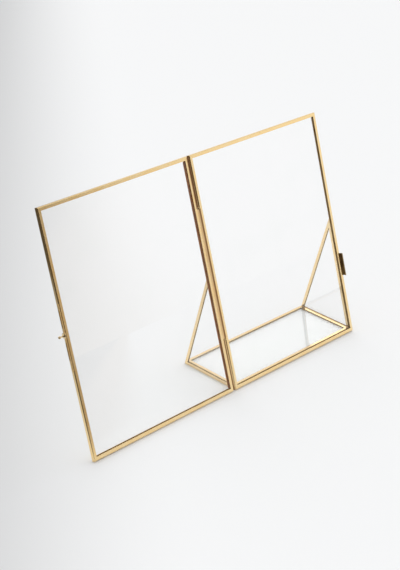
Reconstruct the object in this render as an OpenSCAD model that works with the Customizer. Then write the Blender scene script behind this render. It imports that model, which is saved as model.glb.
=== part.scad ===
// Standing double glass photo frame in brass channel.
// Two glazed leaves are hinged on a long edge. The back leaf is fixed to a glazed
// triangular stand, and the door leaf folds flat over it to hold a print between the
// two panes. The door is drawn as it stands when open: turned half a turn, in one
// plane with the back leaf, with its lower edge on the table.
// Lengths are in millimetres. X runs to the right, Y to the back and Z up.
// The origin is on the table, under the middle of the whole frame.

/* [Leaves] */
// Width of one leaf over its channels
leaf_w = 159; // [120:1:220]
// Height of one leaf over its channels
leaf_h = 206; // [180:1:280]
// Thickness of the leaf panes
glass_t = 2.5; // [2:0.1:3.5]
// Wall of the leaf channel
channel_wall = 0.4; // [0.3:0.1:0.8]
// Width of the channel seen from the front
channel_face = 3.1; // [2.5:0.1:5]
// Width of the channel seen from the back
channel_back_face = 3.5; // [2.5:0.1:5]
// Width of the channel seen from the back, on the hinge side
hinge_back_face = 4.2; // [2.5:0.1:5]
// Angle by which the leaves lean back
lean = 18.5; // [12:0.5:24]

/* [Hinge] */
// Distance between the two leaves when they lie flat
hinge_gap = 2.2; // [2:0.1:3.5]
// Distance between the two leaves when they are shut
shut_gap = 0.4; // [0.3:0.1:1]
// Outer diameter of the barrel on the door's edge
barrel_d = 1.9; // [1.6:0.05:2]
// Length of the barrel
barrel_l = 113.5; // [80:0.5:125]
// Height of the barrel's lower end up the leaf
barrel_low_z = 47.2; // [30:0.2:58]
// Diameter of the hinge pin
pin_d = 0.9; // [0.6:0.05:1]
// Thickness of the two ears that hold the pin
ear_t = 1; // [0.8:0.1:3]
// Depth to which the ears reach into the gap between the leaves
ear_reach = 2; // [1.2:0.1:3]
// Diameter of the peened heads of the pin
pin_head_d = 1.5; // [1.3:0.1:1.8]
// Thickness of the peened heads of the pin
pin_head_t = 0.4; // [0.3:0.1:0.8]

/* [Latch] */
// Length of the sliding bar
bar_l = 55.5; // [53:0.5:70]
// Thickness of the sliding bar
bar_t = 1; // [0.8:0.1:1.4]
// Depth of the sliding bar, from front to back
bar_w = 1.4; // [1.3:0.1:2.2]
// Distance that the bar slides down to lock
latch_travel = 14; // [8:1:16]
// Height of the bar's lower end up the leaf while the latch is open
bar_low_z = 74.5; // [60:0.5:90]
// Distance from the bar's lower end up to the knob's middle
knob_rise = 30.5; // [23:0.5:33]
// Shank diameter of the two pins that guide the bar
guide_pin_d = 0.6; // [0.5:0.1:0.8]
// Head diameter of the guide pins
guide_head_d = 1.2; // [1.1:0.1:1.6]
// Thickness of the guide pin heads
guide_head_t = 0.35; // [0.3:0.05:0.6]
// Length of the knob, from the bar to its tip
knob_l = 5.8; // [5:0.2:9]
// Diameter of the knob's collar
collar_d = 4.6; // [3.6:0.2:5.4]
// Diameter of the knob's neck
neck_d = 1.2; // [0.8:0.1:1.6]
// Diameter of the ball at the tip of the knob
ball_d = 2.4; // [2:0.1:3]
// Length of the keeper that the bar slides into
keeper_l = 21; // [17:0.5:30]
// Thickness of the keeper's sheet
keeper_sheet = 0.4; // [0.3:0.1:0.8]

/* [Stand] */
// Depth of the stand on the table, from the front edge of the leaves
stand_depth = 63.5; // [50:0.5:90]
// Distance up the back of the leaf at which the struts meet it
stand_rise = 110; // [80:1:150]
// Thickness of the stand panes
stand_glass_t = 1.8; // [1.5:0.1:2.4]
// Wall of the stand channel
stand_wall = 0.4; // [0.3:0.1:0.8]
// Width of the stand channel's flanges
stand_face = 2.9; // [2.4:0.1:4]

/* [Hidden] */

// Colours of the polished brass and of the clear panes
brass_tone = [0.80, 0.64, 0.38];
knob_tone = [0.86, 0.71, 0.46];
glass_tone = [0.86, 0.92, 0.92, 0.35];

// Facets of every round surface
round_facets = 48;

// Space between a pane's faces and its channel's walls
glass_face_fit = 0.1;
// Space between a pane's edge and its channel's web
glass_edge_fit = 0.3;
// Running space between sliding faces
slide_fit = 0.05;
// Running space round the hinge pin, on the radius
pin_fit = 0.05;
// End play between the barrel and each ear
barrel_end_fit = 0.15;
// Space between a guide pin and its slot, on each side
slot_fit = 0.05;
// Length by which a cut runs past the faces that it opens
overrun = 1;

// The leaf channel
channel_depth = glass_t + 2 * (channel_wall + glass_face_fit);
half_gap = hinge_gap / 2;
leaf_outer_x = half_gap + leaf_w;
// The leaves stand on their lower back edges, which lifts the front edges
leaf_lift = channel_depth * sin(lean);
leaf_outline = [[half_gap, 0], [leaf_outer_x, 0], [leaf_outer_x, leaf_h], [half_gap, leaf_h]];

// The hinge, in the leaves' own frame: the axis lies just before the front faces
hinge_y = -shut_gap / 2;
barrel_top_z = barrel_low_z + barrel_l;
// The rolled sheet ends in a tab as deep as the barrel, which joins it to the door
barrel_tab_t = barrel_d / 2 + hinge_y;
lower_ear_z = barrel_low_z - barrel_end_fit - ear_t;
upper_ear_z = barrel_top_z + barrel_end_fit;
pin_l = upper_ear_z + ear_t - lower_ear_z;

// The latch: the bar lies just behind the plane of the leaf's front face
bar_inset = 0.1;
bar_mid_y = bar_inset + bar_w / 2;
knob_z = bar_low_z + knob_rise;
bar_outer_x = leaf_outer_x + slide_fit + bar_t;
slot_w = guide_pin_d + 2 * slot_fit;
slot_l = latch_travel + slot_w;
// Solid stretch of the bar between the knob's middle and each slot
slot_from_knob = 6;
// Heights of the guide pins, which stand at the lower ends of the slots at rest
guide_zs = [knob_z - slot_from_knob - slot_l + slot_w / 2, knob_z + slot_from_knob + slot_w / 2];
guide_pin_l = slide_fit + bar_t + slide_fit;

// The knob's turned profile, as radius and distance from the bar: a flat collar,
// a flare that narrows to the neck along a parabola, and a ball
collar_t = 0.5;
collar_rim = 0.3;
flare_d = collar_d - 2 * collar_rim;
// Part of the way from the collar to the ball that the flare takes
flare_share = 0.85;
flare_l = flare_share * (knob_l - ball_d - collar_t);
flare_steps = 6;
ball_steps = 10;
neck_r = neck_d / 2;
ball_r = ball_d / 2;
ball_start = asin(neck_r / ball_r);
knob_profile = concat(
    [[0, 0], [collar_d / 2, 0], [collar_d / 2, collar_t]],
    [for (i = [0 : flare_steps])
        let (s = i / flare_steps)
        [neck_r + (flare_d / 2 - neck_r) * (1 - s) ^ 2, collar_t + s * flare_l]],
    [for (i = [0 : ball_steps])
        let (a = ball_start + (180 - ball_start) * i / ball_steps)
        [ball_r * sin(a), knob_l - ball_r - ball_r * cos(a)]]
);

// The keeper: it holds the bar from the side and from the front
keeper_side_fit = 0.15;
keeper_front_fit = 0.1;
keeper_end_fit = 0.3;
// Its foot lies on the side of the leaf's channel, between these distances from the front
keeper_step_y = 0.6;
keeper_foot_y = 3.1;
keeper_in_x = slide_fit + bar_t + keeper_side_fit;
keeper_out_x = keeper_in_x + keeper_sheet;
// The shut bar reaches this far before the back leaf's front face
shut_bar_reach = shut_gap + bar_inset + bar_w;
lip_in_y = shut_bar_reach + keeper_front_fit;
lip_t = 0.3;
// Length of the lip that lies before the bar
lip_grip = 0.55;
lip_tip_x = slide_fit + bar_t - lip_grip;
keeper_top_z = bar_low_z - keeper_end_fit;

// The stand channel
stand_channel = stand_glass_t + 2 * (stand_wall + glass_face_fit);
left_side_x = half_gap;
right_side_x = leaf_outer_x - stand_channel;
back_foot_y = channel_depth * cos(lean);
side_outline = [
    [back_foot_y, 0],
    [stand_depth, 0],
    [back_foot_y + stand_rise * sin(lean), stand_rise * cos(lean)]
];
// The base lies between the two sides, just behind the leaning leaf
base_seat_fit = 0.2;
base_front_y = back_foot_y + stand_channel * tan(lean) + base_seat_fit;
base_left_x = left_side_x + stand_channel;
base_right_x = right_side_x;
base_outline = [
    [base_left_x, base_front_y],
    [base_right_x, base_front_y],
    [base_right_x, stand_depth],
    [base_left_x, stand_depth]
];

// Reach of the whole frame, which places the origin under its middle. It starts at
// the leaves' lower front edges, where Y is still zero.
left_x = -(bar_outer_x + knob_l);
right_x = leaf_outer_x + keeper_out_x;
rear_y = max(stand_depth, leaf_h * sin(lean) + channel_depth * cos(lean));
centre_x = (left_x + right_x) / 2;
centre_y = rear_y / 2;

// Direction of a plane vector, with length one
function direction(v) = v / norm(v);

// A convex outline, listed anticlockwise, with every side moved inwards by d.
// Each corner moves along the sum of the inward normals of its two sides.
function inset(outline, d) = [
    for (i = [0 : len(outline) - 1])
        let (
            before = outline[(i + len(outline) - 1) % len(outline)],
            after = outline[(i + 1) % len(outline)],
            a = direction(outline[i] - before),
            b = direction(after - outline[i]),
            a_in = [-a.y, a.x],
            b_in = [-b.y, b.x]
        )
        outline[i] + d * (a_in + b_in) / (1 + a_in * b_in)
];

// One mitred side of a channel frame: a trapezium with a slot along its inner edge, whose
// first flange may be wider than the other
module channel_side(outline, side, first_face, face, wall, depth) {
    next = (side + 1) % len(outline);
    inner = inset(outline, face);
    first_inner = inset(outline, first_face);
    along = direction(outline[next] - outline[side]);
    inward = [-along.y, along.x];
    slot_start = outline[side] - overrun * along;
    slot_end = outline[next] + overrun * along;
    slot_depth = face + overrun;
    difference() {
        union() {
            linear_extrude(height = wall)
                polygon([outline[side], outline[next], first_inner[next], first_inner[side]]);
            translate([0, 0, wall])
                linear_extrude(height = depth - wall)
                    polygon([outline[side], outline[next], inner[next], inner[side]]);
        }
        translate([0, 0, wall])
            linear_extrude(height = depth - 2 * wall)
                polygon([
                    slot_start + wall * inward,
                    slot_end + wall * inward,
                    slot_end + slot_depth * inward,
                    slot_start + slot_depth * inward
                ]);
    }
}

// The pane that stands in the slots of a channel frame
module pane(outline, thickness, wall, depth) {
    translate([0, 0, (depth - thickness) / 2])
        linear_extrude(height = thickness)
            polygon(inset(outline, wall + glass_edge_fit));
}

// Places the leaves' own frame: X right from the middle of the hinge, Y back from
// the front faces and Z up the leaves
module on_lean() {
    translate([-centre_x, -centre_y, leaf_lift])
        rotate([-lean, 0, 0])
            children();
}

// Stands a leaf's flat outline up, with its thickness running to the back
module in_back_leaf() {
    on_lean()
        translate([0, channel_depth, 0])
            rotate([90, 0, 0])
                children();
}

// The open door is the mirror image of the back leaf
module in_door() {
    on_lean()
        mirror([1, 0, 0])
            translate([0, channel_depth, 0])
                rotate([90, 0, 0])
                    children();
}

// Stands a side outline up, with its thickness running to the right from x
module in_side(x) {
    translate([x - centre_x, -centre_y, 0])
        rotate([90, 0, 90])
            children();
}

// Lays the base outline flat on the table
module in_base() {
    translate([-centre_x, -centre_y, 0])
        children();
}

module leaf_pane() {
    pane(leaf_outline, glass_t, channel_wall, channel_depth);
}

module leaf_side(side, back_face = channel_back_face) {
    channel_side(leaf_outline, side, back_face, channel_face, channel_wall, channel_depth);
}

module stand_pane(outline) {
    pane(outline, stand_glass_t, stand_wall, stand_channel);
}

module stand_side(outline, side) {
    channel_side(outline, side, stand_face, stand_face, stand_wall, stand_channel);
}

module back_glass() {
    color(glass_tone) in_back_leaf() leaf_pane();
}

module back_bottom_channel() {
    color(brass_tone) in_back_leaf() leaf_side(0);
}

module back_latch_channel() {
    color(brass_tone) in_back_leaf() leaf_side(1);
}

module back_top_channel() {
    color(brass_tone) in_back_leaf() leaf_side(2);
}

module back_hinge_channel() {
    color(brass_tone) in_back_leaf() leaf_side(3, hinge_back_face);
}

module door_glass() {
    color(glass_tone) in_door() leaf_pane();
}

module door_bottom_channel() {
    color(brass_tone) in_door() leaf_side(0);
}

module door_latch_channel() {
    color(brass_tone) in_door() leaf_side(1);
}

module door_top_channel() {
    color(brass_tone) in_door() leaf_side(2);
}

module door_hinge_channel() {
    color(brass_tone) in_door() leaf_side(3, hinge_back_face);
}

// A round eye on the hinge axis, with a tab that joins it to one leaf's edge.
// The tab runs from the axis to tab_x and lies between the two depths.
module hinge_eye(low_z, length, tab_x, tab_front_y, tab_back_y) {
    on_lean()
        difference() {
            union() {
                translate([0, hinge_y, low_z])
                    cylinder(d = barrel_d, h = length, $fn = round_facets);
                translate([min(0, tab_x), tab_front_y, low_z])
                    cube([half_gap, tab_back_y - tab_front_y, length]);
            }
            translate([0, hinge_y, low_z - overrun])
                cylinder(d = pin_d + 2 * pin_fit, h = length + 2 * overrun, $fn = round_facets);
        }
}

// The barrel is rolled from sheet and soldered along the door's edge
module hinge_barrel() {
    color(brass_tone) hinge_eye(barrel_low_z, barrel_l, -half_gap, 0, barrel_tab_t);
}

// Each ear is a small plate soldered in the gap, to the edge of the back leaf
module hinge_ear(low_z) {
    hinge_eye(low_z, ear_t, half_gap, hinge_y, ear_reach);
}

module upper_hinge_ear() {
    color(brass_tone) hinge_ear(upper_ear_z);
}

module lower_hinge_ear() {
    color(brass_tone) hinge_ear(lower_ear_z);
}

// The pin runs through the barrel and both ears, and is peened over at both ends
module hinge_pin() {
    color(brass_tone)
        on_lean()
            translate([0, hinge_y, lower_ear_z]) {
                cylinder(d = pin_d, h = pin_l, $fn = round_facets);
                for (head_z = [-pin_head_t, pin_l])
                    translate([0, 0, head_z])
                        cylinder(d = pin_head_d, h = pin_head_t, $fn = round_facets);
            }
}

// A slot with round ends through the bar, from its lower end upwards
module guide_slot(low_z) {
    slot_x = -bar_outer_x - overrun;
    through = bar_t + 2 * overrun;
    for (end_z = [low_z + slot_w / 2, low_z + slot_l - slot_w / 2])
        translate([slot_x, bar_mid_y, end_z])
            rotate([0, 90, 0])
                cylinder(d = slot_w, h = through, $fn = round_facets);
    translate([slot_x, bar_mid_y - slot_w / 2, low_z + slot_w / 2])
        cube([through, slot_w, slot_l - slot_w]);
}

// The bar slides on the side of the door's latch channel
module latch_bar() {
    color(brass_tone)
        on_lean()
            difference() {
                translate([-bar_outer_x, bar_inset, bar_low_z])
                    cube([bar_t, bar_w, bar_l]);
                for (guide_z = guide_zs)
                    guide_slot(guide_z - slot_w / 2);
            }
}

// A turned knob that stands square on the bar
module latch_knob() {
    color(knob_tone)
        on_lean()
            translate([-bar_outer_x, bar_mid_y, knob_z])
                rotate([0, -90, 0])
                    rotate_extrude($fn = round_facets)
                        polygon(knob_profile);
}

// Two headed pins on the door's channel keep the bar in place and stop it at both ends
module latch_guide_pins() {
    color(brass_tone)
        on_lean()
            for (guide_z = guide_zs)
                translate([-leaf_outer_x, bar_mid_y, guide_z])
                    rotate([0, -90, 0]) {
                        cylinder(d = guide_pin_d, h = guide_pin_l, $fn = round_facets);
                        translate([0, 0, guide_pin_l])
                            cylinder(d = guide_head_d, h = guide_head_t, $fn = round_facets);
                    }
}

// A folded strip on the side of the back leaf. Its step stands it clear of the bar,
// and its lip closes before the bar once the door is shut and the bar is down.
module latch_keeper() {
    color(brass_tone)
        on_lean()
            translate([leaf_outer_x, 0, keeper_top_z - keeper_l])
                linear_extrude(height = keeper_l)
                    polygon([
                        [0, keeper_foot_y],
                        [0, keeper_step_y],
                        [keeper_in_x, keeper_step_y],
                        [keeper_in_x, -lip_in_y],
                        [lip_tip_x, -lip_in_y],
                        [lip_tip_x, -lip_in_y - lip_t],
                        [keeper_out_x, -lip_in_y - lip_t],
                        [keeper_out_x, keeper_step_y + keeper_sheet],
                        [keeper_sheet, keeper_step_y + keeper_sheet],
                        [keeper_sheet, keeper_foot_y]
                    ]);
}

// The two glazed sides of the stand are alike. Side 0 is the rail on the table,
// side 1 the strut and side 2 the upright on the back of the leaf.
module left_side_glass() {
    color(glass_tone) in_side(left_side_x) stand_pane(side_outline);
}

module left_side_rail() {
    color(brass_tone) in_side(left_side_x) stand_side(side_outline, 0);
}

module left_strut() {
    color(brass_tone) in_side(left_side_x) stand_side(side_outline, 1);
}

module left_upright() {
    color(brass_tone) in_side(left_side_x) stand_side(side_outline, 2);
}

module right_side_glass() {
    color(glass_tone) in_side(right_side_x) stand_pane(side_outline);
}

module right_side_rail() {
    color(brass_tone) in_side(right_side_x) stand_side(side_outline, 0);
}

module right_strut() {
    color(brass_tone) in_side(right_side_x) stand_side(side_outline, 1);
}

module right_upright() {
    color(brass_tone) in_side(right_side_x) stand_side(side_outline, 2);
}

module base_glass() {
    color(glass_tone) in_base() stand_pane(base_outline);
}

module base_front_rail() {
    color(brass_tone) in_base() stand_side(base_outline, 0);
}

module base_right_rail() {
    color(brass_tone) in_base() stand_side(base_outline, 1);
}

module base_back_rail() {
    color(brass_tone) in_base() stand_side(base_outline, 2);
}

module base_left_rail() {
    color(brass_tone) in_base() stand_side(base_outline, 3);
}

back_glass();
back_top_channel();
back_bottom_channel();
back_hinge_channel();
back_latch_channel();
door_glass();
door_top_channel();
door_bottom_channel();
door_hinge_channel();
door_latch_channel();
hinge_barrel();
upper_hinge_ear();
lower_hinge_ear();
hinge_pin();
latch_bar();
latch_knob();
latch_guide_pins();
latch_keeper();
left_side_glass();
left_side_rail();
left_strut();
left_upright();
right_side_glass();
right_side_rail();
right_strut();
right_upright();
base_glass();
base_front_rail();
base_right_rail();
base_back_rail();
base_left_rail();
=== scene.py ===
"""Dresses a standing double glass photo frame: folded brass channel, clear panes, a rolled
hinge, a sliding latch and a glazed stand.

Lengths are in metres. X runs to the right, Y to the back and Z up, and the origin is on
the table under the middle of the open frame.
"""
from math import asin, cos, pi, radians, sin, tan

import bmesh
import bpy
import numpy as np
from mathutils import Matrix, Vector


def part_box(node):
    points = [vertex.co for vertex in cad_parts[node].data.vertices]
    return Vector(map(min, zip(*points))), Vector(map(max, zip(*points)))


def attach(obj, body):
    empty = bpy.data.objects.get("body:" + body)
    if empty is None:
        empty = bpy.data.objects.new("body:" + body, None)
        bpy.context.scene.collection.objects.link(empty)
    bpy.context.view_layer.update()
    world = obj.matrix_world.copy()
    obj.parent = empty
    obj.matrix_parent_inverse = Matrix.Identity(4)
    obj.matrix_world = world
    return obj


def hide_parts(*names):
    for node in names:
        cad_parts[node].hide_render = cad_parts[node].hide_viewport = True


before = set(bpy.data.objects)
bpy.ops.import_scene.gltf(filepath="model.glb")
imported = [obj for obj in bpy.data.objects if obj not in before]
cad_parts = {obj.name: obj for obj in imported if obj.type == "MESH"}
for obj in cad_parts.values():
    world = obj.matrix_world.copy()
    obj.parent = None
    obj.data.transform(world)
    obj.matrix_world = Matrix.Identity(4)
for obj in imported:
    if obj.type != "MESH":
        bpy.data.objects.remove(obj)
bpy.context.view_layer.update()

# The studio
# A white table under a large soft window at the back right, in a pale room that is unlit at
# the front left. The camera stands at the front left and looks down on the frame.

camera_place = (-0.773303, -0.725603, 0.631459)
camera_azimuth = radians(-46.459)
camera_elevation = radians(27.055)
camera_roll = radians(2.253)
picture_height_px = 570
focal_length_px = 1416.0

camera_data = bpy.data.cameras.new("camera")
camera_data.sensor_width = 36
camera_data.lens = camera_data.sensor_width * focal_length_px / picture_height_px
camera = bpy.data.objects.new("camera", camera_data)
bpy.context.scene.collection.objects.link(camera)
camera.matrix_world = (
    Matrix.Translation(camera_place)
    @ Matrix.Rotation(camera_azimuth, 4, "Z")
    @ Matrix.Rotation(pi / 2 - camera_elevation, 4, "X")
    @ Matrix.Rotation(camera_roll, 4, "Z")
)
bpy.context.scene.camera = camera
bpy.context.scene.view_settings.view_transform = "Standard"


class Value:
    """One output of a node tree. Arithmetic on numbers adds Math nodes and gives a new Value."""

    def __init__(self, tree, socket=None):
        self.tree = tree
        self.socket = socket

    def node(self, kind, settings, inputs, output=0):
        """Adds a node: its settings first, then the values or links of its sockets."""
        made = self.tree.nodes.new(kind)
        for name, value in settings.items():
            setattr(made, name, value)
        for name, value in inputs.items():
            if isinstance(value, Value):
                self.tree.links.new(value.socket, made.inputs[name])
            else:
                made.inputs[name].default_value = value
        return Value(self.tree, made.outputs[output])

    def math(self, operation, *values):
        return self.node("ShaderNodeMath", {"operation": operation}, dict(enumerate(values)))

    def __add__(self, other):
        return self.math("ADD", self, other)

    def __sub__(self, other):
        return self.math("SUBTRACT", self, other)

    def __rsub__(self, other):
        return self.math("SUBTRACT", other, self)

    def __mul__(self, other):
        return self.math("MULTIPLY", self, other)

    __radd__ = __add__
    __rmul__ = __mul__

    def larger(self, other):
        return self.math("MAXIMUM", self, other)

    def step(self, low, high):
        """0 below low and 1 above high, with a smooth rise between them."""
        return self.node(
            "ShaderNodeMapRange",
            {"interpolation_type": "SMOOTHSTEP"},
            {"Value": self, "From Min": low, "From Max": high},
        )

    def blend(self, at_zero, at_one):
        """The colour at_zero where this value is 0, and at_one where it is 1."""
        return self.node(
            "ShaderNodeMix", {"data_type": "RGBA"}, {0: self, 6: at_zero, 7: at_one}, 2
        )

    def parts(self):
        """The three numbers of a vector."""
        split = self.node("ShaderNodeSeparateXYZ", {}, {0: self}).socket.node
        return [Value(self.tree, socket) for socket in split.outputs]

    def noise(self, scale, detail=2.0):
        """Soft noise from 0 to 1 at this vector, with that many grains to the metre."""
        return self.node(
            "ShaderNodeTexNoise", {}, {"Vector": self, "Scale": scale, "Detail": detail}
        )

    def stretched(self, factors):
        """This vector with each of its numbers multiplied by its own factor."""
        return self.node("ShaderNodeVectorMath", {"operation": "MULTIPLY"}, {0: self, 1: factors})


def new_material(name):
    """A material with its Principled shader, and a Value that starts its nodes."""
    material = bpy.data.materials.new(name)
    material.use_nodes = True
    tree = material.node_tree
    return material, tree.nodes["Principled BSDF"], Value(tree)


def grey(level, warmth=0.0):
    """A pale grey as a colour. Warmth lowers its blue and half as much its green."""
    return (level, level * (1 - warmth / 2), level * (1 - warmth), 1)


# Level directions: towards the unlit end of the room, and over the table to its left rear
unlit_way = (-0.8, -0.6)
left_rear_way = (-0.78, 0.64)
dim_brown = grey(0.46, 0.42)


def lay_table():
    """A flat white table of one square, with painted shade that greys it to the left rear.

    The metal sees more painted shade on it: dim and brown a little way to the front left,
    and unlit beyond that and far to the left rear.
    """
    half = 12.0
    lit_white, left_painted_shade, fibre_grey = grey(0.93, -0.015), grey(0.40, -0.015), grey(0.82)
    fibres_to_the_metre, fibre_share = 260.0, 0.06
    # The distances from the origin between which each change fades in
    shade_to_left_rear, dimmer, dimmer_in_front = (0.03, 0.35), (0.08, 0.15), (0.08, 0.30)
    unlit_front_left, unlit_left_rear = (0.17, 0.27), (0.34, 0.45)
    mesh = bpy.data.meshes.new("table_top")
    mesh.from_pydata(
        [(-half, -half, 0), (half, -half, 0), (half, half, 0), (-half, half, 0)],
        [],
        [(0, 1, 2, 3)],
    )
    table = bpy.data.objects.new("table_top", mesh)
    bpy.context.scene.collection.objects.link(table)
    material, shader, start = new_material("white_table")
    place = start.node("ShaderNodeTexCoord", {}, {}, "Object")
    x, y, _ = place.parts()
    leftwards = y * left_rear_way[1] + x * left_rear_way[0]
    fibre = place.noise(fibres_to_the_metre, 4.0)
    # Painted shade: the table greys towards its left rear
    tone = leftwards.step(*shade_to_left_rear).blend(lit_white, left_painted_shade)
    tone = (fibre * fibre_share).blend(tone, fibre_grey)
    # Painted shade seen only in reflections: dim brown to the front left, nearly black beyond
    in_metal = start.node("ShaderNodeLightPath", {}, {}, "Is Glossy Ray")
    front_left = x * unlit_way[0] + y * unlit_way[1]
    dim = front_left.step(*dimmer) * (y * -1.0).step(*dimmer_in_front)
    tone = (in_metal * dim).blend(tone, dim_brown)
    unlit = front_left.step(*unlit_front_left).larger(leftwards.step(*unlit_left_rear))
    tone = (in_metal * unlit).blend(tone, grey(0.06, 0.40))
    shader.inputs["Roughness"].default_value = 0.9
    start.tree.links.new(tone.socket, shader.inputs["Base Color"])
    mesh.materials.append(material)


lay_table()


def light_room():
    """The room that the camera, metal and glass see, an even fill, and the window's soft light.

    The room is pale, with a dimmer ceiling and a bright window. Towards its unlit end it
    turns a dim brown and then nearly black.
    """
    window_way = (0.652, 0.608, 0.454)
    wall_white, window_white, ceiling_grey = grey(0.99, 0.01), grey(0.98, 0.02), grey(0.62)
    # Cosines of a direction's angle to the unlit end, the window or straight up, between
    # which each change fades in
    brown, black, black_over_brown = (-0.06, 0.025), (0.08, 0.60), (-0.01, 0.045)
    brown_top, window_edge, ceiling_edge = (0.072, 0.092), (0.82, 0.97), (0.50, 0.80)
    world = bpy.data.worlds.new("pale_room")
    bpy.context.scene.world = world
    world.use_nodes = True
    tree = world.node_tree
    fill = tree.nodes["Background"]
    fill.inputs["Color"].default_value = grey(1.0)
    fill.inputs["Strength"].default_value = 0.8
    start = Value(tree)
    x, y, z = start.node("ShaderNodeTexCoord", {}, {}, "Generated").parts()
    to_unlit_end = x * unlit_way[0] + y * unlit_way[1]
    to_window = x * window_way[0] + y * window_way[1] + z * window_way[2]
    tone = to_unlit_end.step(*brown).blend(wall_white, dim_brown)
    unlit = to_unlit_end.step(*black).larger(
        to_unlit_end.step(*black_over_brown) * z.step(*brown_top)
    )
    tone = unlit.blend(tone, grey(0.07, 0.40))
    tone = to_window.step(*window_edge).blend(tone, window_white)
    tone = z.step(*ceiling_edge).blend(tone, ceiling_grey)
    seen = start.node("ShaderNodeBackground", {}, {"Color": tone, "Strength": 1.0})
    rays = start.node("ShaderNodeLightPath", {}, {}).socket.node.outputs
    direct = Value(tree, rays["Is Camera Ray"])
    direct = direct.larger(Value(tree, rays["Is Glossy Ray"]))
    direct = direct.larger(Value(tree, rays["Is Transmission Ray"]))
    mixed = start.node(
        "ShaderNodeMixShader", {}, {0: direct, 1: Value(tree, fill.outputs[0]), 2: seen}
    )
    tree.links.new(mixed.socket, tree.nodes["World Output"].inputs["Surface"])

    window = bpy.data.objects.new("soft_window", bpy.data.lights.new("soft_window", "SUN"))
    window.data.energy = 1.0
    window.data.angle = radians(80)
    window.visible_glossy = False
    window_azimuth = radians(-52)
    window_elevation = radians(42)
    window.rotation_euler = (pi / 2 - window_elevation, 0, pi + window_azimuth)
    bpy.context.scene.collection.objects.link(window)


light_room()

# Leaf channels
# Each leaf is framed by four lengths of brass strip, folded into a channel over the edge
# of the pane, mitred at the corners and soldered there. The strip is drawn and polished
# outside, and has gone brown inside the fold, a brown that also stands in as painted shade
# of the hollow. The hinge side's edges carry painted shade where they face the gap.

leaf_w = 0.159
leaf_h = 0.206
channel_depth = 0.0035
channel_face = 0.0031
channel_back_face = 0.0035
hinge_back_face = 0.0042
channel_wall = 0.0004
hinge_gap = 0.0022
lean = radians(18.5)

hinge_x = (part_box("back_hinge_channel")[0].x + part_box("door_hinge_channel")[1].x) / 2
front_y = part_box("back_bottom_channel")[0].y
leaf_origin = np.array([hinge_x, front_y, channel_depth * sin(lean)])
up_the_leaf = np.array([0, sin(lean), cos(lean)])
into_the_leaf = np.array([0, cos(lean), -sin(lean)])
to_the_right = np.array([1.0, 0, 0])

# Each set of axes has the two directions of an outline's plane and the direction of its depth
back_axes = np.array([to_the_right, up_the_leaf, into_the_leaf])
door_axes = np.array([-to_the_right, up_the_leaf, into_the_leaf])


def distance_along(points):
    """How far each point of a chain lies from its first one: the sum of the steps up to it."""
    steps = np.linalg.norm(np.diff(points, axis=0), axis=1)
    return np.concatenate([[0], np.cumsum(steps)])


def folded_section(face, back_face, depth, wall, fold_r, lip_r):
    """The section of a folded channel as a loop of points, their normals and their run.

    Each flange is two facing chains that share their turns: at the lip a quarter circle of
    lip_r round each corner of the edge, and at the fold a quarter circle of fold_r outside
    and of fold_r less the wall inside. The back flange is the mirror image in depth, with
    its own reach. The first number of a point is its distance inwards from the web, the
    second its depth. The run is the distance along the strip from its front lip, negative
    on the inside.
    """
    lip_points, fold_points = 5, 9
    lip = np.linspace(pi / 2, 0, lip_points)
    fold = np.linspace(0, pi / 2, fold_points)
    inner_r = fold_r - wall

    def flange(reach):
        lip_in = reach - lip_r + lip_r * np.sin(lip)
        outer = np.concatenate([
            np.stack([lip_in, lip_r - lip_r * np.cos(lip)], axis=1),
            np.stack([fold_r - fold_r * np.sin(fold), fold_r - fold_r * np.cos(fold)], axis=1),
        ])
        inner = np.concatenate([
            np.stack([lip_in, wall - lip_r + lip_r * np.cos(lip)], axis=1),
            np.stack([fold_r - inner_r * np.sin(fold), fold_r - inner_r * np.cos(fold)], axis=1),
        ])
        return outer, inner

    outer_normals = np.concatenate([
        np.stack([np.sin(lip), -np.cos(lip)], axis=1),
        np.stack([-np.sin(fold), -np.cos(fold)], axis=1),
    ])
    inner_normals = outer_normals * [1, -1]
    inner_normals[len(lip):] = -outer_normals[len(lip):]

    def whole(front, back, mirrored_depth):
        return np.concatenate([front, back[::-1] * [1, -1] + [0, mirrored_depth]])

    outer, inner = (whole(*chains, depth) for chains in zip(flange(face), flange(back_face)))
    points = np.concatenate([outer, inner[::-1]])
    normals = np.concatenate([
        whole(outer_normals, outer_normals, 0),
        whole(inner_normals, inner_normals, 0)[::-1],
    ])
    run = distance_along(outer)
    return points, normals, np.concatenate([run, -run[::-1]])


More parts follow.
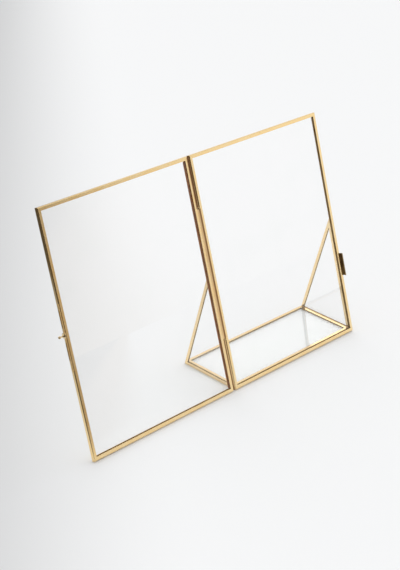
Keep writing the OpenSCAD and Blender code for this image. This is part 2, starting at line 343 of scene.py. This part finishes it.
def skin(name, rings, normals, runs, travel):
    """A closed skin through rings of points, each ring two facing chains of equal length.

    Point k of a ring faces point -1 - k. A band of quads joins each ring to the next, and
    a strip of quads between the facing points closes the first and the last ring. The
    bands shade by the given normals, and the ends by their own flat faces. The UV map
    holds the travel along the rings and the run round them, in metres.
    """
    count, around = rings.shape[:2]
    index = np.arange(count * around).reshape(count, around)
    after = np.roll(index, -1, axis=1)
    bands = np.stack([index[:-1], after[:-1], after[1:], index[1:]], axis=-1).reshape(-1, 4)
    near = np.arange(around // 2 - 1)
    strip = np.stack([near, near + 1, around - 2 - near, around - 1 - near], axis=-1)
    first, last = index[0][strip][:, ::-1], index[-1][strip]
    faces = np.concatenate([bands, first, last])
    points = rings.reshape(-1, 3)
    corners = points[faces]
    volume = sum(
        np.einsum("ij,ij->i", corners[:, 0], np.cross(corners[:, k], corners[:, k + 1])).sum()
        for k in (1, 2)
    )
    vertex_normals = normals.reshape(-1, 3)
    uv = np.stack([travel, runs], axis=-1).reshape(-1, 2)
    if volume < 0:
        faces = faces[:, ::-1]
    mesh = bpy.data.meshes.new(name)
    mesh.from_pydata(points, [], faces.tolist())
    order = faces.reshape(-1)
    loop_normals = vertex_normals[order]
    end_faces = faces[len(bands):]
    end_corners = points[end_faces]
    end_normals = np.cross(
        end_corners[:, 2] - end_corners[:, 0], end_corners[:, 3] - end_corners[:, 1]
    )
    no_area = 1e-12
    end_normals /= np.maximum(np.linalg.norm(end_normals, axis=1, keepdims=True), no_area)
    loop_normals[len(bands) * 4:] = np.repeat(end_normals, 4, axis=0)
    mesh.polygons.foreach_set("use_smooth", np.ones(len(faces), bool))
    mesh.normals_split_custom_set(loop_normals)
    layer = mesh.uv_layers.new(name="along")
    layer.data.foreach_set("uv", uv[order].ravel())
    piece = bpy.data.objects.new(name, mesh)
    bpy.context.scene.collection.objects.link(piece)
    return piece


def mitre_vectors(outline):
    """How each corner of an outline moves for each metre that its sides move inwards.

    That is the sum of the inward normals of its two sides, divided by one plus their
    product.
    """
    along = np.roll(outline, -1, axis=0) - outline
    along /= np.linalg.norm(along, axis=1, keepdims=True)
    inward = np.stack([-along[:, 1], along[:, 0]], axis=1)
    before = np.roll(inward, 1, axis=0)
    product = np.einsum("ij,ij->i", before, inward)
    return (before + inward) / (1 + product)[:, None]


def fold_channel(name, outline, side, section, origin, axes):
    """One mitred side of a channel frame, carried along its outline.

    Each point of the section runs between the places that it has in the mitre planes of
    the side's two corners. The strip is eased by 0.05 mm at both cut ends, which leaves
    the hairline of the joint.
    """
    points, normals, run = section
    ease = 0.00005
    mitres = mitre_vectors(outline)
    after = (side + 1) % len(outline)
    start = outline[side] + points[:, :1] * mitres[side]
    end = outline[after] + points[:, :1] * mitres[after]
    way = outline[after] - outline[side]
    length = np.linalg.norm(way)
    inward = np.array([-way[1], way[0]]) / length
    share = np.array([0, ease / length, 1 - ease / length, 1])[:, None, None]
    flat = start + share * (end - start)
    local = np.concatenate([flat, np.broadcast_to(points[:, 1:], flat.shape[:2] + (1,))], axis=2)
    local_normals = np.concatenate([normals[:, :1] * inward, normals[:, 1:]], axis=1)
    eased = np.array([1, 0, 0, 1])[:, None, None] * ease
    rings = origin + (local - eased * local_normals) @ axes
    travel = np.linalg.norm(flat - outline[side], axis=2)
    return skin(
        name,
        rings,
        np.broadcast_to(local_normals @ axes, rings.shape),
        np.broadcast_to(run, rings.shape[:2]),
        travel,
    )


# Inner tones: brown patina deepened as painted shade of the channel's hollow. The edge tone is
# painted shade of the hinge gap.
olive_patina_and_shade = ((0.38, 0.19, 0.004, 1), (0.52, 0.28, 0.010, 1))
copper_patina_and_shade = ((0.50, 0.17, 0.020, 1), (0.70, 0.27, 0.035, 1))
gap_shade_brown = (0.38, 0.19, 0.07, 1)
patina_and_shade_metallic = 0.6
polished_roughness = 0.12


def brass(name, tone, rubbed, roughness, painted_shade=None, inner=olive_patina_and_shade, metallic=1.0):
    """Brass with fine drawn lines along the UV map, faint clouds and a few dull spots.

    Inside a fold, where the UV map's run is negative, it takes the two inner tones, patina
    deepened by painted shade, and is duller. Elsewhere, where the shade mask, a function of
    travel and run, gives 1, it takes a brown of painted shade and is duller too.
    """
    material, shader, start = new_material(name)
    link = start.tree.links.new
    along = start.node("ShaderNodeTexCoord", {}, {}, "UV")
    place = start.node("ShaderNodeTexCoord", {}, {}, "Object")
    travel, run, _ = along.parts()
    fold_fade = (0.0001, 0.0004)
    inside = (run * -1.0).step(*fold_fade)
    dark = inside.larger(painted_shade(travel, run)) if painted_shade else inside
    lines_to_the_metre = (30.0, 9000.0, 0.0)
    clouds_to_the_metre, spots_to_the_metre = 90.0, 700.0
    tarnish = 0.62
    lines = along.stretched(lines_to_the_metre).noise(1.0, 3.0)
    clouds = place.noise(clouds_to_the_metre, 3.0)
    spots = place.noise(spots_to_the_metre, 2.0).step(0.66, 0.78)
    tarnished = tuple(tarnish * part for part in tone[:3]) + (1,)
    colour = clouds.step(0.35, 0.75).blend(tone, rubbed)
    colour = (spots * 0.35).blend(colour, tarnished)
    # Inside a fold: patina with painted shade. Outside it, where the mask gives 1: painted shade
    # of the hinge gap.
    patina_and_shade = clouds.step(0.30, 0.80).blend(*inner)
    patina_and_shade = inside.blend(gap_shade_brown, patina_and_shade)
    colour = dark.blend(colour, patina_and_shade)
    link(colour.socket, shader.inputs["Base Color"])
    metal = metallic - dark * (metallic - patina_and_shade_metallic)
    link(metal.socket, shader.inputs["Metallic"])
    line_rough, cloud_rough, spot_rough, patina_and_shade_rough = 0.08, 0.05, 0.2, 0.25
    rough = roughness + lines * line_rough + clouds * cloud_rough + spots * spot_rough
    rough = rough + dark * patina_and_shade_rough
    link(rough.socket, shader.inputs["Roughness"])
    bump = start.node(
        "ShaderNodeBump",
        {},
        {"Height": lines * 0.4 + clouds, "Strength": 0.05, "Distance": 0.0004},
    )
    link(bump.socket, shader.inputs["Normal"])
    return material


brass_tone = (0.96, 0.71, 0.355, 1)
rubbed_tone = (0.97, 0.76, 0.43, 1)
polished_brass = brass("polished_brass", brass_tone, rubbed_tone, polished_roughness)

half_gap = hinge_gap / 2
leaf_outer_x = half_gap + leaf_w
leaf_outline = np.array(
    [[half_gap, 0], [leaf_outer_x, 0], [leaf_outer_x, leaf_h], [half_gap, leaf_h]]
)
leaf_sections = {
    back_face: folded_section(
        channel_face, back_face, channel_depth, channel_wall, fold_r=0.00075, lip_r=0.0001
    )
    for back_face in (channel_back_face, hinge_back_face)
}


def finish_piece(piece, node, body, material):
    """Gives a new piece its material and slot, and puts it in the place of a CAD node."""
    piece.data.materials.append(material)
    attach(piece, body)
    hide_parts(node)


barrel_l = 0.1135
barrel_low_z = 0.0472
barrel_from_top = leaf_h - barrel_low_z - barrel_l
barrel_foot_from_top = leaf_h - barrel_low_z

# Along the hinge side's edge: the fade at the barrel's ends, and the fade and end of the painted
# shade
end_fade = 0.0005
gap_shade_fade = 0.0004
gap_shade_end = 0.0065


def gap_shade_stretch(run, start, widened, extra):
    """1 from start to the painted shade's end, starting earlier by extra where widened is 1."""
    begins = (run + widened * extra).step(start, start + gap_shade_fade)
    return begins * (1.0 - run.step(gap_shade_end, gap_shade_end + gap_shade_fade))


def back_gap_shade(travel, run):
    """Painted shade on the back leaf's edge where it faces the hinge gap, wider beside the
    barrel.
    """
    beside = travel.step(barrel_from_top - end_fade, barrel_from_top)
    past = travel.step(barrel_foot_from_top, barrel_foot_from_top + end_fade)
    return gap_shade_stretch(run, start=0.0040, widened=beside * (1.0 - past), extra=0.0020)


def door_gap_shade(travel, run):
    """Painted shade on the door's edge where it faces the hinge gap, wider above the barrel."""
    above = 1.0 - travel.step(barrel_from_top - end_fade, barrel_from_top)
    return gap_shade_stretch(run, start=0.0034, widened=above, extra=0.0016)


# The hinge channels carry painted shade along the edges that face the gap
edge_brass = {
    leaf: brass(
        f"{leaf}_edge_brass", brass_tone, rubbed_tone, polished_roughness, edge, copper_patina_and_shade
    )
    for leaf, edge in (("back", back_gap_shade), ("door", door_gap_shade))
}
for leaf, body, axes in (("back", "frame", back_axes), ("door", "door", door_axes)):
    for side, part in enumerate(("bottom", "latch", "top", "hinge")):
        node = f"{leaf}_{part}_channel"
        section = leaf_sections[hinge_back_face if part == "hinge" else channel_back_face]
        channel = fold_channel(f"folded_{node}", leaf_outline, side, section, leaf_origin, axes)
        finish = edge_brass[leaf] if part == "hinge" else polished_brass
        finish_piece(channel, node, body, finish)

# Panes
# Two panes of 2.5 mm float glass lie in the leaves and three thinner ones in the stand. They
# are cut to shape, washed and slid into the channels before the last side is soldered on.


def pane_glass(name, tint):
    """Clear glass with the faint green of float glass. Light passes it without a dark shadow."""
    material, shader, start = new_material(name)
    link = start.tree.links.new
    place = start.node("ShaderNodeTexCoord", {}, {}, "Object")
    film_grains, film_edge = 24.0, (0.45, 0.8)
    film = place.noise(film_grains, 3.0).step(*film_edge)
    colour = film.blend((1, 1, 1, 1), tint)
    link(colour.socket, shader.inputs["Base Color"])
    shader.inputs["Transmission Weight"].default_value = 1.0
    shader.inputs["Roughness"].default_value = 0.0
    shader.inputs["IOR"].default_value = 1.5
    shader.inputs["Specular IOR Level"].default_value = 0.3
    rays = start.node("ShaderNodeLightPath", {}, {}).socket.node.outputs
    lamp = Value(start.tree, rays["Is Shadow Ray"])
    lamp = lamp.larger(Value(start.tree, rays["Is Diffuse Ray"]))
    through = start.node("ShaderNodeBsdfTransparent", {}, {"Color": tint})
    mixed = start.node(
        "ShaderNodeMixShader",
        {},
        {0: lamp, 1: Value(start.tree, shader.outputs[0]), 2: through},
    )
    link(mixed.socket, start.tree.nodes["Material Output"].inputs["Surface"])
    return material


clear_glass = pane_glass("clear_glass", (0.985, 0.99, 0.987, 1))
for node in ("back_glass", "door_glass", "left_side_glass", "right_side_glass", "base_glass"):
    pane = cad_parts[node]
    pane.data.materials.clear()
    pane.data.materials.append(clear_glass)

# Hinge
# A barrel rolled from brass sheet and pressed a little square lies along the door's edge,
# with a run of solder in the groove beside it. It turns on a pin between two small ears on
# the back leaf's edge, and the pin is peened into a low dome at both ends.

shut_gap = 0.0004
barrel_d = 0.0019
pressed_r = 0.00088
squareness = 1.6
barrel_end_fit = 0.00015
bore_d = 0.001
pin_d = 0.0009
pin_head_d = 0.0015
pin_head_t = 0.0004
ear_t = 0.001
ear_reach = 0.002
cut_edge = 0.00006
hinge_y = -shut_gap / 2
hinge_foot = leaf_origin + hinge_y * into_the_leaf

# Looking down the leaf, with the section's plane first and the height last
plan_axes = np.array([to_the_right, into_the_leaf, up_the_leaf])


def circle_points(turn):
    """The points of the unit circle at some angles: their cosines and their sines."""
    return np.stack([np.cos(turn), np.sin(turn)], axis=1)


def rolled_section():
    """The barrel's section: a tab that runs into a roll of nearly a whole turn.

    The outer chain is a line along the back of the tab and then a circle that is pressed
    towards a square: both of its numbers go to the power of 1 / squareness. The inner
    chain is the tab's other face and a circle of the bore's radius. Both turn the same way
    round the pin and stop just short of the tab. The run is negative on the inside.
    """
    roll_start, roll_end, roll_points = 90, -208, 60
    circle = circle_points(np.radians(np.linspace(roll_start, roll_end, roll_points)))
    pressed = np.sign(circle) * np.abs(circle) ** (1 / squareness)
    pressed_normals = np.sign(circle) * np.abs(circle) ** (2 - 1 / squareness)
    pressed_normals /= np.linalg.norm(pressed_normals, axis=1, keepdims=True)
    tab = np.array([[-half_gap, 0.0]])
    outer = np.concatenate([tab + [0, pressed_r], pressed * pressed_r])
    inner = np.concatenate([tab + [0, bore_d / 2], circle * bore_d / 2])
    run = distance_along(outer)
    to_back = [[0.0, 1.0]]
    return (
        np.concatenate([outer, inner[::-1]]),
        np.concatenate([to_back, pressed_normals, -circle[::-1], -np.array(to_back)]),
        np.concatenate([run, -run[::-1]]),
    )


def straight_run(name, section, low, high, origin, axes):
    """A section carried straight along the third axis, its cut ends eased by 0.08 mm."""
    points, normals, run = section
    ease = 0.00008
    travel = np.array([low, low + ease, high - ease, high])[:, None]
    sunk = np.array([1, 0, 0, 1])[:, None, None] * ease
    flat = points - sunk * normals
    height = np.broadcast_to(travel[:, :, None], flat.shape[:2] + (1,))
    solid_normals = np.concatenate([normals, np.zeros((len(normals), 1))], axis=1) @ axes
    return skin(
        name,
        origin + np.concatenate([flat, height], axis=2) @ axes,
        np.broadcast_to(solid_normals, flat.shape[:2] + (3,)),
        np.broadcast_to(run, flat.shape[:2]),
        np.broadcast_to(travel, flat.shape[:2]),
    )


def swept(circle, radii, heights):
    """Rings of points: a circle times each radius, lifted to each height."""
    lifted = np.broadcast_to(heights[:, None, None], (len(heights), len(circle), 1))
    return np.concatenate([radii[:, None, None] * circle, lifted], axis=2)


def turned(name, heights, radii, origin, axes, around=40):
    """A turned piece: its profile swept round the third axis.

    The normals are square to the profile's own slope, from differences along it. The
    profile starts and ends on a small flat, which closes the piece.
    """
    angle = (np.arange(around) + 0.5) * 2 * pi / around
    circle = circle_points(angle)
    rise, spread = np.gradient(heights), np.gradient(radii)
    slope = np.hypot(rise, spread)
    rings = swept(circle, radii, heights)
    normals = swept(circle, rise / slope, -spread / slope)
    steps = np.hypot(np.diff(heights, prepend=heights[0]), np.diff(radii, prepend=radii[0]))
    travel = np.cumsum(steps)
    return skin(
        name,
        origin + rings @ axes,
        normals @ axes,
        np.broadcast_to(travel[:, None], rings.shape[:2]),
        np.broadcast_to(angle * radii.max(), rings.shape[:2]),
    )


def dome(height, radius, count=9):
    """Heights and radii of a low dome, from its rim to a small flat at its top."""
    flat_from = 0.46 * pi
    turn = np.linspace(0, flat_from, count)
    return height * np.sin(turn), radius * np.cos(turn)


def plate(name, outlines, thickness, bevel, origin, axes):
    """A flat plate cut to its outlines, with eased edges.

    The first outline goes round the plate and the others round its holes. It lies in the
    plane of the first two axes and rises along the third. The UV map runs along the
    second axis.
    """
    curve = bpy.data.curves.new(name, "CURVE")
    curve.dimensions = "2D"
    curve.fill_mode = "BOTH"
    curve.extrude = thickness / 2 - bevel
    curve.bevel_depth = bevel
    curve.bevel_resolution = 2
    curve.offset = -bevel
    for outline in outlines:
        spline = curve.splines.new("POLY")
        spline.points.add(len(outline) - 1)
        ends = np.broadcast_to([0.0, 1.0], outline.shape)
        spline.points.foreach_set("co", np.concatenate([outline, ends], axis=1).ravel())
        spline.use_cyclic_u = True
    flat = bpy.data.objects.new(name + "_outline", curve)
    mesh = bpy.data.meshes.new_from_object(flat)
    bpy.data.objects.remove(flat)
    bpy.data.curves.remove(curve)
    merge_distance = 0.000002
    work = bmesh.new()
    work.from_mesh(mesh)
    bmesh.ops.remove_doubles(work, verts=work.verts, dist=merge_distance)
    bmesh.ops.recalc_face_normals(work, faces=work.faces)
    work.to_mesh(mesh)
    work.free()
    mesh.name = name
    local = np.zeros(len(mesh.vertices) * 3)
    mesh.vertices.foreach_get("co", local)
    local = local.reshape(-1, 3) + [0, 0, thickness / 2]
    order = np.zeros(len(mesh.loops), np.int32)
    mesh.loops.foreach_get("vertex_index", order)
    layer = mesh.uv_layers.new(name="along")
    across = local[:, 0] + local[:, 2]
    run = np.stack([local[:, 1], across - across.min()], axis=1)
    layer.data.foreach_set("uv", run[order].ravel())
    if np.linalg.det(axes) < 0:
        mesh.flip_normals()
    mesh.vertices.foreach_set("co", (origin + local @ axes).ravel())
    mesh.polygons.foreach_set("use_smooth", np.ones(len(mesh.polygons), bool))
    mesh.update()
    piece = bpy.data.objects.new(name, mesh)
    bpy.context.scene.collection.objects.link(piece)
    piece.modifiers.new("flat faces stay flat", "WEIGHTED_NORMAL")
    return piece


barrel_high_z = barrel_low_z + barrel_l
lower_ear_z = barrel_low_z - barrel_end_fit - ear_t
upper_ear_z = barrel_high_z + barrel_end_fit

barrel = straight_run(
    "rolled_hinge_barrel", rolled_section(), barrel_low_z, barrel_high_z, hinge_foot, plan_axes
)


def barrel_gap_shade(travel, run):
    """Painted shade on the barrel's side, which faces the back leaf across the gap."""
    side_end, front_start = 0.0045, 0.0050
    return 1.0 - run.step(side_end, front_start)


satin_tone, satin_rubbed = (1.0, 0.68, 0.33, 1), (1.0, 0.73, 0.40, 1)
satin_roughness, satin_metallic = 0.45, 0.25
barrel_brass = brass(
    "barrel_brass",
    satin_tone,
    satin_rubbed,
    satin_roughness,
    barrel_gap_shade,
    metallic=satin_metallic,
)
finish_piece(barrel, "hinge_barrel", "door", barrel_brass)


def parabola(share, start, bend, end):
    """A parabola from start to end, drawn towards its bend: the squares of what is left and
    of the share weigh the ends, and twice their product weighs the bend.
    """
    return (1 - share) ** 2 * start + 2 * share * (1 - share) * bend + share**2 * end


def solder_section():
    """The section of the solder run between the door's front fold and the barrel.

    Its outer chain is a parabola from the fold to the barrel's left, bent halfway towards
    the groove between them. Its inner chain is a straight line deep in that groove.
    """
    share = np.linspace(0, 1, 8)[:, None]
    on_fold, on_barrel = np.array([-0.0017, 0.00022]), np.array([-0.00076, -0.00044])
    sag, groove, inner_width = 0.00006, [-0.00085, 0.00045], 0.25
    bend = (on_fold + on_barrel) / 2 + [sag, sag]
    outer = parabola(share, on_fold, bend, on_barrel)
    inner = outer * [inner_width, 0] + groove
    slope = np.gradient(outer, axis=0)
    facing = np.stack([slope[:, 1], -slope[:, 0]], axis=1)
    facing /= np.linalg.norm(facing, axis=1, keepdims=True)
    run = distance_along(outer)
    return (
        np.concatenate([outer, inner[::-1]]),
        np.concatenate([facing, -facing[::-1]]),
        np.concatenate([run, run[::-1]]),
    )


solder = straight_run(
    "barrel_solder", solder_section(), barrel_low_z, barrel_high_z, hinge_foot, plan_axes
)
solder_brass = brass(
    "solder_brass", satin_tone, satin_rubbed, satin_roughness, metallic=satin_metallic
)
solder.data.materials.append(solder_brass)
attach(solder, "door")

eye_points, bore_points = 28, 32
eye = circle_points(np.radians(np.linspace(90, 360, eye_points))) * barrel_d / 2
ear_tab = np.array([[half_gap, 0], [half_gap, ear_reach - hinge_y], [0, ear_reach - hinge_y]])
ear_outline = np.concatenate([ear_tab, eye])
bore = circle_points(np.linspace(0, 2 * pi, bore_points, endpoint=False)) * bore_d / 2
for which, ear_z in (("upper", upper_ear_z), ("lower", lower_ear_z)):
    ear = plate(
        f"pierced_{which}_ear",
        [ear_outline, bore],
        ear_t,
        cut_edge,
        hinge_foot + ear_z * up_the_leaf,
        plan_axes,
    )
    finish_piece(ear, f"{which}_hinge_ear", "frame", polished_brass)

dome_rise, dome_radius = dome(pin_head_t, pin_head_d / 2)
pin_top = upper_ear_z + ear_t
pin_heights = np.concatenate([lower_ear_z - dome_rise[::-1], pin_top + dome_rise])
pin_radii = np.concatenate([dome_radius[::-1], dome_radius])
shank = np.array([lower_ear_z, pin_top]), np.full(2, pin_d / 2)
middle = len(dome_rise)
pin = turned(
    "peened_hinge_pin",
    np.insert(pin_heights, middle, shank[0]),
    np.insert(pin_radii, middle, shank[1]),
    hinge_foot,
    plan_axes,
)
finish_piece(pin, "hinge_pin", "frame", polished_brass)

# Latch
# A flat brass bar slides on the side of the door, held by two headed pins through its
# slots. Its turned knob pushes it down into a keeper, a folded strip of sheet on the side
# of the back leaf, once the door is shut.

slide_fit = 0.00005
bar_t = 0.001
bar_w = 0.0014
bar_l = 0.0555
bar_low_z = 0.0745
bar_inset = 0.0001
bar_corner = 0.0005
bar_edge = 0.00012
knob_rise = 0.0305
latch_travel = 0.014
guide_pin_d = 0.0006
guide_head_d = 0.0012
guide_head_t = 0.00035
slot_fit = 0.00005
slot_from_knob = 0.006
bar_mid_y = bar_inset + bar_w / 2
knob_z = bar_low_z + knob_rise
slot_w = guide_pin_d + 2 * slot_fit
slot_l = latch_travel + slot_w
guide_heights = (
    knob_z - slot_from_knob - slot_l + slot_w / 2,
    knob_z + slot_from_knob + slot_w / 2,
)

# Looking at the door's side from outside, with the way outwards last
side_axes = np.array([into_the_leaf, up_the_leaf, -to_the_right])
door_side = leaf_origin - leaf_outer_x * to_the_right


def round_ended(middle_across, low, high, radius, count=10):
    """A slot's outline: two half circles of one radius, joined by straight sides."""
    half = circle_points(np.linspace(0, pi, count)) * radius
    top = half + [middle_across, high - radius]
    bottom = -half + [middle_across, low + radius]
    return np.concatenate([top, bottom])


def eased(outline, reaches, count=5):
    """An outline whose corners become parabolas that start and end at their reach from them."""
    outline = np.asarray(outline, float)
    reaches = np.broadcast_to(reaches, len(outline))[:, None]
    before = np.roll(outline, 1, axis=0) - outline
    after = np.roll(outline, -1, axis=0) - outline
    start = outline + reaches * before / np.linalg.norm(before, axis=1, keepdims=True)
    end = outline + reaches * after / np.linalg.norm(after, axis=1, keepdims=True)
    share = np.linspace(0, 1, count)[None, :, None]
    return parabola(share, start[:, None], outline[:, None], end[:, None]).reshape(-1, 2)


bar_outline = eased(
    [
        [bar_inset, bar_low_z],
        [bar_inset + bar_w, bar_low_z],
        [bar_inset + bar_w, bar_low_z + bar_l],
        [bar_inset, bar_low_z + bar_l],
    ],
    bar_corner,
)
bar_slots = [
    round_ended(bar_mid_y, height - slot_w / 2, height - slot_w / 2 + slot_l, slot_w / 2)
    for height in guide_heights
]
latch_bar = plate(
    "slotted_latch_bar",
    [bar_outline, *bar_slots],
    bar_t,
    bar_edge,
    door_side - slide_fit * to_the_right,
    side_axes,
)
finish_piece(latch_bar, "latch_bar", "latch", polished_brass)

turned_brass = brass(
    "turned_brass", (0.96, 0.75, 0.44, 1), (0.97, 0.81, 0.55, 1), polished_roughness
)

knob_l = 0.0058
collar_d = 0.0046
collar_t = 0.0005
collar_rim = 0.0003
neck_d = 0.0012
ball_d = 0.0024
flare_d = collar_d - 2 * collar_rim
flare_share = 0.85
flare_l = flare_share * (knob_l - ball_d - collar_t)


def knob_profile():
    """Heights and radii of the knob, from the bar to its tip.

    A collar with an eased rim, a flare whose radius falls to the neck with the square of
    what is left of its length, and a ball up to a small flat.
    """
    ease, foot = 0.00012, 0.0001
    rim_points, flare_points, ball_points = 4, 12, 18
    rim = np.linspace(0, pi / 2, rim_points)
    flare = np.linspace(0, 1, flare_points)
    neck_at, flat_from = asin(neck_d / ball_d), 0.96 * pi
    ball = np.linspace(neck_at, flat_from, ball_points)
    heights = np.concatenate([
        [0, foot],
        collar_t - ease + ease * np.sin(rim),
        collar_t + flare * flare_l,
        knob_l - ball_d / 2 - ball_d / 2 * np.cos(ball),
    ])
    radii = np.concatenate([
        [collar_d / 2, collar_d / 2],
        collar_d / 2 - ease + ease * np.cos(rim),
        neck_d / 2 + (flare_d - neck_d) / 2 * (1 - flare) ** 2,
        ball_d / 2 * np.sin(ball),
    ])
    return heights, radii


bar_outer = door_side - (slide_fit + bar_t) * to_the_right
knob = turned(
    "turned_latch_knob",
    *knob_profile(),
    bar_outer + bar_mid_y * into_the_leaf + knob_z * up_the_leaf,
    side_axes,
)
finish_piece(knob, "latch_knob", "latch", turned_brass)

head_rise, head_radius = dome(guide_head_t, guide_head_d / 2)
head_low = bar_t + 2 * slide_fit
for which, height in zip(("lower", "upper"), guide_heights):
    guide = turned(
        f"headed_{which}_guide_pin",
        np.concatenate([[0, head_low], head_low + head_rise]),
        np.concatenate([[guide_pin_d / 2, guide_pin_d / 2], head_radius]),
        door_side + bar_mid_y * into_the_leaf + height * up_the_leaf,
        side_axes,
        around=28,
    )
    finish_piece(guide, "latch_guide_pins", "door", turned_brass)

keeper_l = 0.021
keeper_sheet = 0.0004
keeper_lip_t = 0.0003
keeper_grip = 0.00055
keeper_side_fit = 0.00015
keeper_front_fit = 0.0001
keeper_end_fit = 0.0003
keeper_step_y = 0.0006
keeper_foot_y = 0.0031
keeper_in_x = slide_fit + bar_t + keeper_side_fit
keeper_out_x = keeper_in_x + keeper_sheet
lip_in_y = -(shut_gap + bar_inset + bar_w + keeper_front_fit)
lip_tip_x = slide_fit + bar_t - keeper_grip
bend_inside, bend_outside = 0.0001, 0.0003
keeper_outline = eased(
    [
        [0, keeper_foot_y],
        [0, keeper_step_y],
        [keeper_in_x, keeper_step_y],
        [keeper_in_x, lip_in_y],
        [lip_tip_x, lip_in_y],
        [lip_tip_x, lip_in_y - keeper_lip_t],
        [keeper_out_x, lip_in_y - keeper_lip_t],
        [keeper_out_x, keeper_step_y + keeper_sheet],
        [keeper_sheet, keeper_step_y + keeper_sheet],
        [keeper_sheet, keeper_foot_y],
    ],
    [
        cut_edge, bend_outside, bend_inside, bend_inside, cut_edge,
        cut_edge, bend_outside, bend_outside, bend_inside, cut_edge,
    ],
)
keeper_low_z = bar_low_z - keeper_end_fit - keeper_l
keeper = plate(
    "folded_latch_keeper",
    [keeper_outline],
    keeper_l,
    cut_edge,
    leaf_origin + leaf_outer_x * to_the_right + keeper_low_z * up_the_leaf,
    plan_axes,
)
unpolished_roughness = 0.35
# The keeper's dark brown is painted shade for the shadowed hollow of its fold
keeper_shade_brass = brass(
    "keeper_shade_brass", (0.36, 0.26, 0.13, 1), (0.46, 0.34, 0.18, 1), unpolished_roughness
)
finish_piece(keeper, "latch_keeper", "frame", keeper_shade_brass)

# Stand
# Two glazed triangles and a glazed base between them, all in lighter channel than the
# leaves. Their uprights are soldered to the back of the leaf, and the base's four rails
# to the triangles.

stand_depth = 0.0635
stand_rise = 0.110
stand_channel = 0.0028
stand_face = 0.0029
stand_wall = 0.0004
base_seat_fit = 0.0002
back_foot_y = channel_depth * cos(lean)
stand_section = folded_section(
    stand_face, stand_face, stand_channel, stand_wall, fold_r=0.00055, lip_r=0.0001
)
stand_origin = np.array([hinge_x, front_y, 0])
upwards = np.array([0, 0, 1.0])
to_the_back = np.array([0, 1.0, 0])

side_outline = np.array([
    [back_foot_y, 0],
    [stand_depth, 0],
    [back_foot_y + stand_rise * sin(lean), stand_rise * cos(lean)],
])
side_plane = np.array([to_the_back, upwards, to_the_right])
for hand, side_x in (("left", half_gap), ("right", leaf_outer_x - stand_channel)):
    for side, part in enumerate(("side_rail", "strut", "upright")):
        node = f"{hand}_{part}"
        origin = stand_origin + side_x * to_the_right
        channel = fold_channel(
            f"folded_{node}", side_outline, side, stand_section, origin, side_plane
        )
        finish_piece(channel, node, "frame", polished_brass)

base_left_x = half_gap + stand_channel
base_right_x = leaf_outer_x - stand_channel
base_front_y = back_foot_y + stand_channel * tan(lean) + base_seat_fit
base_outline = np.array([
    [base_left_x, base_front_y],
    [base_right_x, base_front_y],
    [base_right_x, stand_depth],
    [base_left_x, stand_depth],
])
base_plane = np.array([to_the_right, to_the_back, upwards])
for side, part in enumerate(("front", "right", "back", "left")):
    node = f"base_{part}_rail"
    channel = fold_channel(
        f"folded_{node}", base_outline, side, stand_section, stand_origin, base_plane
    )
    finish_piece(channel, node, "frame", polished_brass)

# Solder beads
# A small bead of solder is left on the back of each leaf's corners, where the channels were
# joined, and one over the top of each triangle. They are low and uneven, and unpolished.

bead_solder = brass(
    "bead_solder", (0.52, 0.42, 0.30, 1), (0.66, 0.54, 0.38, 1), unpolished_roughness
)
bead_r = 0.0008
bead_rise = 0.00035
bead_inset = 0.0012
bead_sunk = 0.0001
rear_face = channel_depth - bead_sunk
bead_over_triangle = 0.0005
seeds_to_the_metre = 900


def solder_bead(name, hand, across, up, body, seed):
    """A low dome on the back of a leaf, whose rim wanders from a circle.

    Its radius follows two sines of the angle, with phases from the seed. Its normals are
    those of an ellipsoid, from the point's place divided by the squares of its half axes.
    """
    around, oval, lobed = 32, 0.07, 0.04
    rise, spread = dome(bead_rise, bead_r)
    angle = (np.arange(around) + 0.5) * 2 * pi / around
    wander = 1 + oval * np.sin(2 * angle + seed) + lobed * np.sin(3 * angle + 2.3 * seed)
    rings = swept(circle_points(angle) * wander[:, None], spread, rise)
    normals = rings / [bead_r**2, bead_r**2, bead_rise**2]
    normals /= np.linalg.norm(normals, axis=2, keepdims=True)
    sideways = hand * across * to_the_right
    place = leaf_origin + sideways + up * up_the_leaf + rear_face * into_the_leaf
    bead = skin(
        name,
        place + rings @ back_axes,
        normals @ back_axes,
        np.broadcast_to(angle * bead_r, rings.shape[:2]),
        np.broadcast_to(rise[:, None], rings.shape[:2]),
    )
    bead.data.materials.append(bead_solder)
    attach(bead, body)


for leaf, body, hand in (("back", "frame", 1), ("door", "door", -1)):
    corners = [
        (across, up)
        for across in (half_gap + bead_inset, leaf_outer_x - bead_inset)
        for up in (bead_inset, leaf_h - bead_inset)
    ]
    for corner, (across, up) in enumerate(corners):
        solder_bead(f"{leaf}_corner_bead_{corner}", hand, across, up, body, corner + hand)
for which, side_x in (("left", half_gap), ("right", leaf_outer_x - stand_channel)):
    middle_x, seed = side_x + stand_channel / 2, side_x * seeds_to_the_metre
    over_the_top = stand_rise + bead_over_triangle
    solder_bead(f"{which}_triangle_bead", 1, middle_x, over_the_top, "frame", seed)
